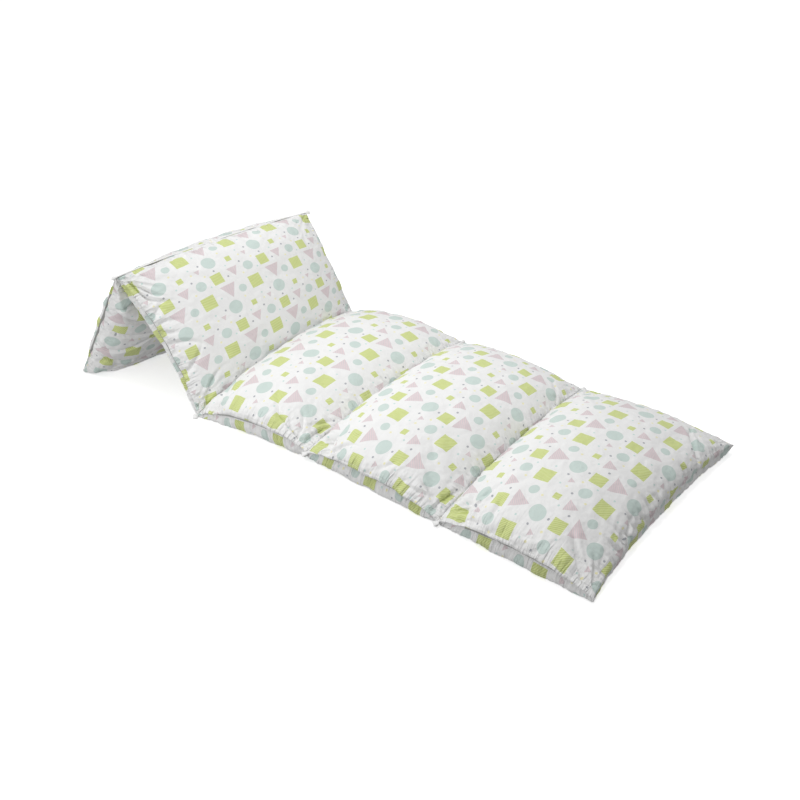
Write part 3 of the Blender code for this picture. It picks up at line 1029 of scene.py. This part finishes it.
# %% The shape of a motif
EDGE_BLUR = 0.5 * MM
TRIANGLE_HEIGHT = 0.87


def inside(tree, distance, reach):
    """1 where a distance in metres is less than the reach, with a soft edge."""
    return add_node(tree, "MapRange", {
        "Value": distance, "From Min": reach + EDGE_BLUR, "From Max": reach - EDGE_BLUR,
    }, interpolation_type="SMOOTHSTEP")


def triangle_mask(tree, x, beside, size):
    """A triangle that points along +X. beside is the distance from its middle line."""
    half, height = size / 2.0, TRIANGLE_HEIGHT * size
    flank = add_node(tree, "Math", {0: x, 1: half / height, 2: beside}, operation="MULTIPLY_ADD")
    flank = add_node(tree, "Math", {0: flank, 1: half / 2.0}, operation="SUBTRACT")
    base = add_node(tree, "Math", {0: x, 1: -1.0, 2: -height / 2.0}, operation="MULTIPLY_ADD")
    return inside(tree, add_node(tree, "Math", {0: flank, 1: base}, operation="MAXIMUM"), 0.0)


def motif_mask(tree, offset, motif):
    """1 on the motif and 0 beside it."""
    half = motif.size / 2.0
    if motif.kind == "circle":
        length = add_node(tree, "VectorMath", {0: offset}, operation="LENGTH")
        return inside(tree, length.outputs["Value"], half)
    plain = add_node(tree, "SeparateXYZ", {0: offset})
    beside = add_node(tree, "Math", {0: plain.outputs["Y"]}, operation="ABSOLUTE")
    if motif.kind == "triangle":
        return triangle_mask(tree, plain.outputs["X"], beside, motif.size)
    ahead = add_node(tree, "Math", {0: plain.outputs["X"]}, operation="ABSOLUTE")
    return inside(tree, add_node(tree, "Math", {0: ahead, 1: beside}, operation="MAXIMUM"), half)


print("kinds of motif:", sorted({motif.kind for motif in MOTIFS}))

# %% The weave
# Real threads are about 0.35 mm apart, too fine to show in the render, so they are drawn coarser.
THREAD_PITCH = 0.9 * MM
WEAVE_HEIGHT = 0.05 * MM


def weave_height(tree, place):
    """A plain weave, one thread over and one under."""
    turns = 2.0 * math.pi * REPEAT / THREAD_PITCH
    scaled = add_node(tree, "VectorMath", {0: place, 1: (turns, turns, 0.0)}, operation="MULTIPLY")
    plain = add_node(tree, "SeparateXYZ", {0: scaled})
    warp, weft = (
        add_node(tree, "Math", {0: plain.outputs[axis]}, operation="SINE") for axis in "XY")
    return add_node(tree, "Math", {0: warp, 1: weft}, operation="MULTIPLY")


print("threads drawn every", round(THREAD_PITCH / MM, 1), "mm")

# %% Wrinkles and creases
# WRINKLE_FINE, WRINKLE_LONG: wrinkles in a repeat of the print, across them and along them.
WRINKLE_FINE, WRINKLE_LONG = 11.0, 2.0
WRINKLE_HEIGHT = 17 * MM
CREASE_WAVE = 13 * MM
CREASE_HEIGHT = 1.6 * MM


def wrinkles(tree, place, stretch, zone):
    """Long narrow wrinkles that run square to a seam, where the zone is near it."""
    stretched = add_node(tree, "VectorMath", {0: place, 1: stretch}, operation="MULTIPLY")
    lines = add_node(tree, "TexNoise", {
        "Vector": stretched, "Scale": 1.0, "Detail": 2.0, "Roughness": 0.5, "Distortion": 0.5})
    centred = add_node(tree, "Math", {0: lines, 1: 0.5}, operation="SUBTRACT")
    creased = add_node(tree, "Math", {0: centred}, operation="ABSOLUTE")
    return add_node(tree, "Math", {0: creased, 1: zone}, operation="MULTIPLY")


def cotton_normal(tree, place):
    """Wrinkles drawn out by the seams, soft creases all over, and the weave."""
    near = add_node(tree, "Attribute", attribute_name="near_seam").outputs["Vector"]
    zones = add_node(tree, "SeparateXYZ", {0: near}).outputs
    by_ends = wrinkles(tree, place, (WRINKLE_LONG, WRINKLE_FINE, 1.0), zones["X"])
    by_sides = wrinkles(tree, place, (WRINKLE_FINE, WRINKLE_LONG, 1.0), zones["Y"])
    total = add_node(tree, "Math", {0: by_ends, 1: by_sides}, operation="ADD")
    drawn = add_node(tree, "Bump", {
        "Strength": 1.0, "Distance": WRINKLE_HEIGHT, "Height": total})
    creases = add_node(tree, "TexNoise", {
        "Vector": place, "Scale": REPEAT / CREASE_WAVE, "Detail": 3.0, "Roughness": 0.6,
        "Distortion": 0.8})
    rough = add_node(tree, "Bump", {
        "Strength": 0.8, "Distance": CREASE_HEIGHT, "Height": creases, "Normal": drawn})
    return add_node(tree, "Bump", {
        "Strength": 0.5, "Distance": WEAVE_HEIGHT, "Height": weave_height(tree, place),
        "Normal": rough})


print("wrinkles every", round(REPEAT / WRINKLE_FINE / MM), "mm near a seam")

# %% Printed cotton
CLOTH_WHITE, CLOTH_GREY = "#F2F2F1", "#EAEAEA"


def new_material(name, **shader_inputs):
    """A material, its node tree and its shader with the given sockets set."""
    material = bpy.data.materials.new(name)
    material.use_nodes = True
    shader = material.node_tree.nodes["Principled BSDF"]
    for socket, value in shader_inputs.items():
        shader.inputs[socket.replace("_", " ")].default_value = value
    return material, material.node_tree, shader


def printed_cotton(name):
    """Plain-woven printed cotton: matt, slightly fuzzy, with a soft sheen at grazing angles."""
    material, tree, shader = new_material(
        name, Roughness=0.85, Sheen_Weight=0.15, Sheen_Roughness=0.5, Specular_IOR_Level=0.25)
    place = add_node(tree, "UVMap", uv_map="cloth").outputs["UV"]
    mottle = add_node(tree, "TexNoise", {"Vector": place, "Scale": 5.0, "Detail": 4.0})
    colour = add_node(tree, "Mix", {
        "Factor": mottle, 6: linear(CLOTH_WHITE), 7: linear(CLOTH_GREY),
    }, data_type="RGBA").outputs[2]
    for motif in MOTIFS:
        offset = offset_to(tree, place, motif)
        ink = linear(motif.colour)
        if motif.lines:
            ink = add_node(tree, "Mix", {
                "Factor": hatching(tree, offset, motif), 6: ink, 7: linear(motif.lines),
            }, data_type="RGBA").outputs[2]
        colour = add_node(tree, "Mix", {
            "Factor": motif_mask(tree, offset, motif), 6: colour, 7: ink,
        }, data_type="RGBA").outputs[2]
    tree.links.new(colour, shader.inputs["Base Color"])
    tree.links.new(cotton_normal(tree, place).outputs[0], shader.inputs["Normal"])
    return material


cotton = printed_cotton("printed_cotton")
print("cotton nodes:", len(cotton.node_tree.nodes))

# %% Thread, and the painted shade in a mouth
THREAD_WHITE, THREAD_GREY = "#EFEFED", "#DEDEDB"
TWIST_SCALE = 900.0
TWIST_HEIGHT = 0.1 * MM
PAINTED_SHADE_GREY = "#B0B0AE"


def sewing_thread(name):
    """White spun polyester thread: a soft shine, and a twist that shows as a fine bump."""
    material, tree, shader = new_material(name, Roughness=0.55)
    place = add_node(tree, "TexCoord").outputs["Object"]
    twist = add_node(
        tree, "TexWave", {"Vector": place, "Scale": TWIST_SCALE}, bands_direction="DIAGONAL",
    ).outputs["Fac"]
    colour = add_node(tree, "Mix", {
        "Factor": twist, 6: linear(THREAD_WHITE), 7: linear(THREAD_GREY)}, data_type="RGBA")
    ridges = add_node(tree, "Bump", {"Strength": 0.4, "Distance": TWIST_HEIGHT, "Height": twist})
    tree.links.new(colour.outputs[2], shader.inputs["Base Color"])
    tree.links.new(ridges.outputs[0], shader.inputs["Normal"])
    return material


def painted_shade_cotton(name):
    """Painted shade: the white cotton inside a mouth, coloured matt grey where the deep opening
    would be dark.
    """
    return new_material(
        name, Base_Color=linear(PAINTED_SHADE_GREY), Roughness=0.9, Specular_IOR_Level=0.0)[0]


# Grey cotton that paints the shade inside the mouths.
painted_shade_material = painted_shade_cotton("cotton_painted_mouth_shade")
thread = sewing_thread("sewing_thread")
print("materials:", [material.name for material in (cotton, painted_shade_material, thread)])

# %% Dress the pockets
for pocket, sewn in zip(POCKETS, sewn_pockets):
    # The second material of each pocket is the grey painted shade inside its mouth.
    for material in (cotton, painted_shade_material):
        sewn.object.data.materials.append(material)
    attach(sewn.object, "root")
    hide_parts(pocket.name)
print("dressed:", [sewn.object.name for sewn in sewn_pockets])

# %% [markdown]
# ## Hem stitches
# Each mouth has a hem with one row of stitches. A row could be a line in the material, but close up
# each stitch is a small bar of thread that lies on the cloth. So the rows are laid out on the flat
# cut, where they are straight, and carried to the finished cloth, where they follow every fold.

# %% From the cut to the cloth
HEM_BAND = 26 * MM


def carry_to_cloth(sewn, over):
    """A function from a place x, y on the upper hem, as cut, to its place and normal."""
    mesh = sewn.object.data
    mesh.calc_loop_triangles()
    corners = np.zeros(len(mesh.loop_triangles) * 3, int)
    mesh.loop_triangles.foreach_get("vertices", corners)
    corners = corners.reshape(-1, 3)
    flat, points = read_cut(mesh), read_points(mesh)
    in_hem = (flat[:, 2] * over > CLOTH_PAIR / 4.0) & (flat[:, 1] < HEM_BAND)
    corners = corners[in_hem[corners].all(axis=1)]
    tree = BVHTree.FromPolygons(flat.tolist(), corners.tolist())

    def carry(x, y):
        found, _, index, _ = tree.find_nearest((x, y, over * CLOTH_PAIR / 2.0))
        as_cut = [Vector(flat[corner]) for corner in corners[index]]
        a, b, c = (Vector(points[corner]) for corner in corners[index])
        place = geometry.barycentric_transform(found, *as_cut, a, b, c)
        return place, (b - a).cross(c - a).normalized()

    return carry


carry_foot = carry_to_cloth(sewn_pockets[-1], 1.0)
print("a stitch on the foot pocket's hem:", [round(x, 3) for x in carry_foot(0.2, HEM_STITCH)[0]])

# %% Stitch the hems
STITCH_PITCH = 4.4 * MM
STITCH_SIZE = (3.2 * MM, 0.8 * MM, 0.6 * MM)
STITCH_FACES = 20


def add_stitch(mesh_data, place, along, up):
    """One small rounded bar of thread."""
    along = along.normalized()
    sideways = up.cross(along).normalized()
    turned = Matrix((along, sideways, along.cross(sideways))).transposed().to_4x4()
    halves = Matrix.Diagonal([size / 2.0 for size in STITCH_SIZE] + [1.0])
    bmesh.ops.create_icosphere(
        mesh_data, subdivisions=1, radius=1.0, matrix=Matrix.Translation(place) @ turned @ halves)


def stitch_hem(pocket, sewn):
    """The row of stitches on a pocket's hem."""
    mesh_data = bmesh.new()
    carry = carry_to_cloth(sewn, over_side(pocket))
    for x in np.arange(HEM_END, sewn.length - HEM_END, STITCH_PITCH):
        place, normal = carry(x, HEM_STITCH)
        ahead, _ = carry(x + STITCH_PITCH / 2.0, HEM_STITCH)
        if (ahead - place).length > 0.0:
            add_stitch(mesh_data, place, ahead - place, normal)
    made = add_object(pocket.name.replace("pocket", "hem_stitches"), mesh_data)
    made.data.materials.append(thread)
    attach(made, "root")
    return made


hem_rows = [stitch_hem(pocket, sewn) for pocket, sewn in zip(POCKETS, sewn_pockets)]
print("hem stitches:", [len(row.data.polygons) // STITCH_FACES for row in hem_rows])

# %% [markdown]
# ## Hinges
# Between the pockets the cloths are stitched together, and the lounger folds there. Such a hinge is
# a narrow doubled strip that puckers between its stitches and ends in a small gathered ear on both
# sides. A plain bevelled bar would look like piping, so the strip is a tube whose rings follow a
# formula: flat in the middle, swollen between stitches and flared at the ears.

# %% The rings of a hinge
HINGE_HALF, HINGE_THICKNESS = 2.6 * MM, 3.6 * MM
PUCKER_PITCH, PUCKER_SHARE = 8.8 * MM, 0.16
EAR_REACH = 14 * MM
EAR_MIDDLE = 6 * MM
EAR_SPREAD = 5 * MM
EAR_HALF, EAR_THICKNESS = 8 * MM, 10 * MM
EAR_FOLDS, EAR_FOLD_SHARE, EAR_TWIST = 3, 0.25, 90.0
TIP_LENGTH, TIP_LEAST = 4 * MM, 0.05


def hinge_ring(line, up, row, distance, turn):
    """Points at a distance from the near end of a hinge line, at the angles turn around it."""
    width = line_across(line).length
    centre = line_points(line, distance / width)
    to_end = np.minimum(distance, width - distance)
    ear = np.exp(-(((to_end + EAR_MIDDLE) / EAR_SPREAD) ** 2))
    tip = np.sqrt(np.clip((to_end + EAR_REACH) / TIP_LENGTH, TIP_LEAST, 1.0))
    pucker = 1.0 + PUCKER_SHARE * np.sin(2.0 * math.pi * distance / PUCKER_PITCH) * (1.0 - ear)
    fold = 1.0 + EAR_FOLD_SHARE * ear * np.sin(EAR_FOLDS * turn + EAR_TWIST * distance)
    half = (HINGE_HALF + (EAR_HALF - HINGE_HALF) * ear) * tip * fold
    thick = (HINGE_THICKNESS + (EAR_THICKNESS - HINGE_THICKNESS) * ear) / 2.0 * tip * fold * pucker
    beside, above = (half * np.cos(turn))[..., None] * row, (thick * np.sin(turn))[..., None] * up
    return above_floor(centre + beside + above)


print("a hinge strip is", round(2 * HINGE_HALF / MM, 1), "mm wide between the pockets")

# %% The cloth of a hinge
HINGE_STEPS = 300
HINGE_SIDES = 16
HINGE_PRINT_START = (0.45, 0.29)
HINGE_PRINT_GIRTH = 2 * MM  # cloth that a radian around the strip takes
WELD = 0.01 * MM


def hinge_cloth(mesh_data, line, up, row):
    """The closed tube of a hinge's strip, with the print on it."""
    reach = line_across(line).length + EAR_REACH
    turns = np.linspace(0.0, 2.0 * math.pi, HINGE_SIDES + 1)
    distances = np.linspace(-EAR_REACH, reach, HINGE_STEPS + 1)
    turn, distance = np.meshgrid(turns, distances, indexing="ij")
    uv_layer = mesh_data.loops.layers.uv.new("cloth")
    rows = add_side(mesh_data, hinge_ring(line, up, row, distance, turn))
    place_of = {
        vert: (HINGE_PRINT_START[0] + turns[i] * HINGE_PRINT_GIRTH / PLAIN_PRINT.along,
               HINGE_PRINT_START[1] + distances[j] / PLAIN_PRINT.across)
        for vert, i, j in rows
    }
    for face in mesh_data.faces:
        for loop in face.loops:
            loop[uv_layer].uv = place_of[loop.vert]
    bmesh.ops.remove_doubles(mesh_data, verts=mesh_data.verts, dist=WELD)
    open_edges = [edge for edge in mesh_data.edges if len(edge.link_faces) == 1]
    bmesh.ops.holes_fill(mesh_data, edges=open_edges)
    bmesh.ops.recalc_face_normals(mesh_data, faces=mesh_data.faces)


print("a hinge has", HINGE_STEPS * HINGE_SIDES, "faces of cloth between its tips")

# %% Sew the hinges


def sew_hinge(index):
    """A hinge's strip and its row of stitches, after the pocket of this index."""
    before, after = POCKETS[index], POCKETS[index + 1]
    line = CROSS_LINES[before.end]
    up = (pocket_normal(before) + pocket_normal(after)).normalized()
    row = line_across(line).normalized().cross(up)
    up_and_row = np.array(up), np.array(row)
    mesh_data = bmesh.new()
    hinge_cloth(mesh_data, line, *up_and_row)
    cloth_faces = len(mesh_data.faces)
    top = np.array(math.pi / 2.0)
    for start in np.arange(STITCH_PITCH, line_across(line).length, STITCH_PITCH):
        place, ahead = (Vector(hinge_ring(line, *up_and_row, np.array(distance), top))
                        for distance in (start, start + STITCH_PITCH / 2.0))
        add_stitch(mesh_data, place, ahead - place, up)
    mesh_data.faces.ensure_lookup_table()
    for face in mesh_data.faces[cloth_faces:]:
        face.material_index = 1
    made = add_object("sewn_hinge_" + before.end, mesh_data)
    for material in (cotton, thread):
        made.data.materials.append(material)
    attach(made, "root")
    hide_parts("hinge_" + before.end)
    return made


hinges = [sew_hinge(index) for index in range(len(POCKETS) - 1)]
print("hinges:", [(hinge.name, len(hinge.data.polygons)) for hinge in hinges])

# %% [markdown]
# ## Studio
# The photograph shows the lounger on plain white, in soft light from above that leaves its foot end
# in shade. Lamps alone would throw hard shadows, so a bright sky does most of the work. It is
# dimmer below the horizon and towards the foot. Two soft boxes lift the backrest and its mouth. The
# floor glows a little and lights nothing, so that it comes out white without bleaching the cloth.

# %% Camera
CAMERA_PLACE = (1.12, -1.378, 1.15)
CAMERA_AZIMUTH = 37.6
CAMERA_ELEVATION = 32.3
CAMERA_LENS = 35.6
SENSOR_WIDTH = 36.0

camera_data = bpy.data.cameras.new("camera")
camera_data.lens = CAMERA_LENS
camera_data.sensor_width = SENSOR_WIDTH
camera = bpy.data.objects.new("camera", camera_data)
camera.location = CAMERA_PLACE
tilt, pan = math.radians(90.0 - CAMERA_ELEVATION), math.radians(CAMERA_AZIMUTH)
camera.rotation_euler = Euler((tilt, 0.0, pan))
bpy.context.scene.collection.objects.link(camera)
bpy.context.scene.camera = camera
print(f"camera {Vector(CAMERA_PLACE).length:.2f} m from the lounger's middle")

# %% Floor
FLOOR_HALF = 60.0
FLOOR_WHITE = "#FCFCFC"
FLOOR_GLOW = 0.46

floor_data = bmesh.new()
bmesh.ops.create_grid(floor_data, x_segments=1, y_segments=1, size=FLOOR_HALF)
floor = add_object("floor", floor_data)
floor_material = new_material(
    "studio_floor", Base_Color=linear(FLOOR_WHITE), Roughness=1.0, Specular_IOR_Level=0.0,
    Emission_Color=(1.0, 1.0, 1.0, 1.0), Emission_Strength=FLOOR_GLOW)[0]
floor.data.materials.append(floor_material)
floor.visible_diffuse = False
print("floor:", 2 * FLOOR_HALF, "m square")

# %% Soft boxes
SoftBox = namedtuple("SoftBox", "name place aim size watts")
SOFT_BOXES = (
    SoftBox("soft_box_over", (0.03, 0.06, 1.55), (-0.37, 0.0, 0.1), 0.8, 9.4),
    SoftBox("soft_box_low", (-0.42, -1.5, 0.36), (-0.65, -0.2, 0.12), 0.7, 5.7),
)

for box in SOFT_BOXES:
    lamp = bpy.data.lights.new(box.name, "AREA")
    lamp.shape = "DISK"
    lamp.size = box.size
    lamp.energy = box.watts
    light = bpy.data.objects.new(box.name, lamp)
    light.location = box.place
    light.rotation_euler = (Vector(box.aim) - Vector(box.place)).to_track_quat("-Z", "Y").to_euler()
    bpy.context.scene.collection.objects.link(light)
print("soft boxes:", [(box.name, box.watts) for box in SOFT_BOXES])

# %% Sky
SKY_LIGHT = 0.61
SKY_TILT = 0.26
GROUND_LIGHT = 0.28
HORIZON = 0.05
HEAD_LIGHT = 0.12
HEAD_LIGHT_FOCUS = 3.0
HEAD_LIGHT_HEADING = (-0.85, 0.0, 0.53)

world = bpy.data.worlds.new("studio")
world.use_nodes = True
sky = world.node_tree
heading = add_node(sky, "TexCoord").outputs["Generated"]
axes = add_node(sky, "SeparateXYZ", {0: heading}).outputs
height = add_node(sky, "MapRange", {
    "Value": axes["Z"], "From Min": -HORIZON, "From Max": HORIZON,
    "To Min": GROUND_LIGHT, "To Max": SKY_LIGHT}, interpolation_type="SMOOTHSTEP")
tilted = add_node(sky, "Math", {0: axes["X"], 1: -SKY_TILT, 2: 1.0}, operation="MULTIPLY_ADD")
spread = add_node(sky, "Math", {0: height, 1: tilted}, operation="MULTIPLY")
facing = add_node(sky, "VectorMath", {0: heading, 1: HEAD_LIGHT_HEADING}, operation="DOT_PRODUCT")
towards = add_node(sky, "Math", {0: facing.outputs["Value"], 1: 0.0}, operation="MAXIMUM")
gathered = add_node(sky, "Math", {0: towards, 1: HEAD_LIGHT_FOCUS}, operation="POWER")
brightness = add_node(sky, "Math", {
    0: gathered, 1: HEAD_LIGHT, 2: spread}, operation="MULTIPLY_ADD")
background = sky.nodes["Background"]
background.inputs["Color"].default_value = (1.0, 1.0, 1.0, 1.0)
sky.links.new(brightness.outputs[0], background.inputs["Strength"])
bpy.context.scene.world = world
bpy.context.scene.view_settings.view_transform = "Standard"
print("sky nodes:", len(sky.nodes))
